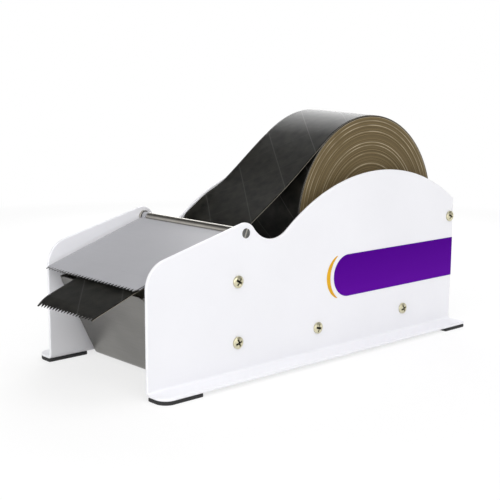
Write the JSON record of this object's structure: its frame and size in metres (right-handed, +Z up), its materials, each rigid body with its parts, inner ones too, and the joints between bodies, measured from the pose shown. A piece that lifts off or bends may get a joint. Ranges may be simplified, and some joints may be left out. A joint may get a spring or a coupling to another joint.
{
  "type": "water-activated tape dispenser",
  "caption": "Bench dispenser for gummed paper tape: bent side plates carry a roll on a spindle, a guide rod, a water tank with a wetting roller and a hinged cover with a toothed cutter.",
  "frame": {"origin": "on the table, under the middle of the object's box", "axes": "+Z up, +Y towards the rear, +X towards the labelled side"},
  "size_m": [0.144, 0.3324, 0.1671],
  "materials": {
    "white_paint": "satin powder coat",
    "black_rubber": "matt",
    "label_film": "printed film",
    "label_gold": "printed film",
    "zinc": "yellow passivated zinc",
    "stainless": "brushed stainless sheet",
    "cover_sheet": "satin sheet",
    "polished_rod": "polished",
    "felt": "wool felt",
    "nylon": "moulded",
    "kraft": "edges of wound tape",
    "card": "spiral-wound board",
    "tape": "reinforced gummed paper"
  },
  "bodies": {
    "frame": {"right_side_plate": "white_paint", "left_side_plate": "white_paint", "front_right_foot": "black_rubber", "front_left_foot": "black_rubber", "rear_right_foot": "black_rubber", "rear_left_foot": "black_rubber", "side_label": "label_film", "label_crescent": "label_gold", "tank_bulkhead": "white_paint", "bulkhead_screws": "zinc", "bulkhead_nuts": "zinc", "water_tank": "stainless", "wetting_bush_right": "nylon", "wetting_bush_left": "nylon", "guide_axle": "polished_rod", "guide_end_nuts": "polished_rod", "guide_spacer_right": "polished_rod", "guide_spacer_left": "polished_rod", "front_tie_rod": "zinc", "rear_tie_rod": "zinc", "back_tie_bar": "zinc", "tie_rod_screws": "zinc", "spindle_holder_right": "zinc", "spindle_holder_left": "zinc", "tape_web": "tape"},
    "tape_roll": {"tape_roll": "kraft", "roll_core": "card", "hub_right": "nylon", "hub_left": "nylon", "spindle": "polished_rod", "spindle_collar": "polished_rod", "collar_screw": "zinc"},
    "guide_sleeve": {"guide_sleeve": "polished_rod"},
    "wetting_roller": {"wetting_roller": "felt", "wetting_axle": "polished_rod"},
    "cover": {"cover_plate": "cover_sheet", "cutter_blade": "stainless", "press_strip": "black_rubber"}
  },
  "joints": [
    {"name": "tape_roll_spin", "type": "hinge", "parent": "frame", "child": "tape_roll", "pos_m": [0, 0.07467, 0.09401], "axis": [1, 0, 0], "continuous": true},
    {"name": "guide_sleeve_spin", "type": "hinge", "parent": "frame", "child": "guide_sleeve", "pos_m": [0, -0.05423, 0.09474], "axis": [1, 0, 0], "continuous": true},
    {"name": "wetting_roller_spin", "type": "hinge", "parent": "frame", "child": "wetting_roller", "pos_m": [0, -0.09253, 0.06175], "axis": [1, 0, 0], "continuous": true},
    {"name": "cover_lift", "type": "hinge", "parent": "frame", "child": "cover", "pos_m": [0, -0.05423, 0.09474], "axis": [-1, 0, 0], "range_deg": [0, 150]}
  ],
  "couplings": [
    {"joint": "guide_sleeve_spin", "follows": "tape_roll_spin", "ratio": -24.167},
    {"joint": "wetting_roller_spin", "follows": "tape_roll_spin", "ratio": 4.5312}
  ]
}
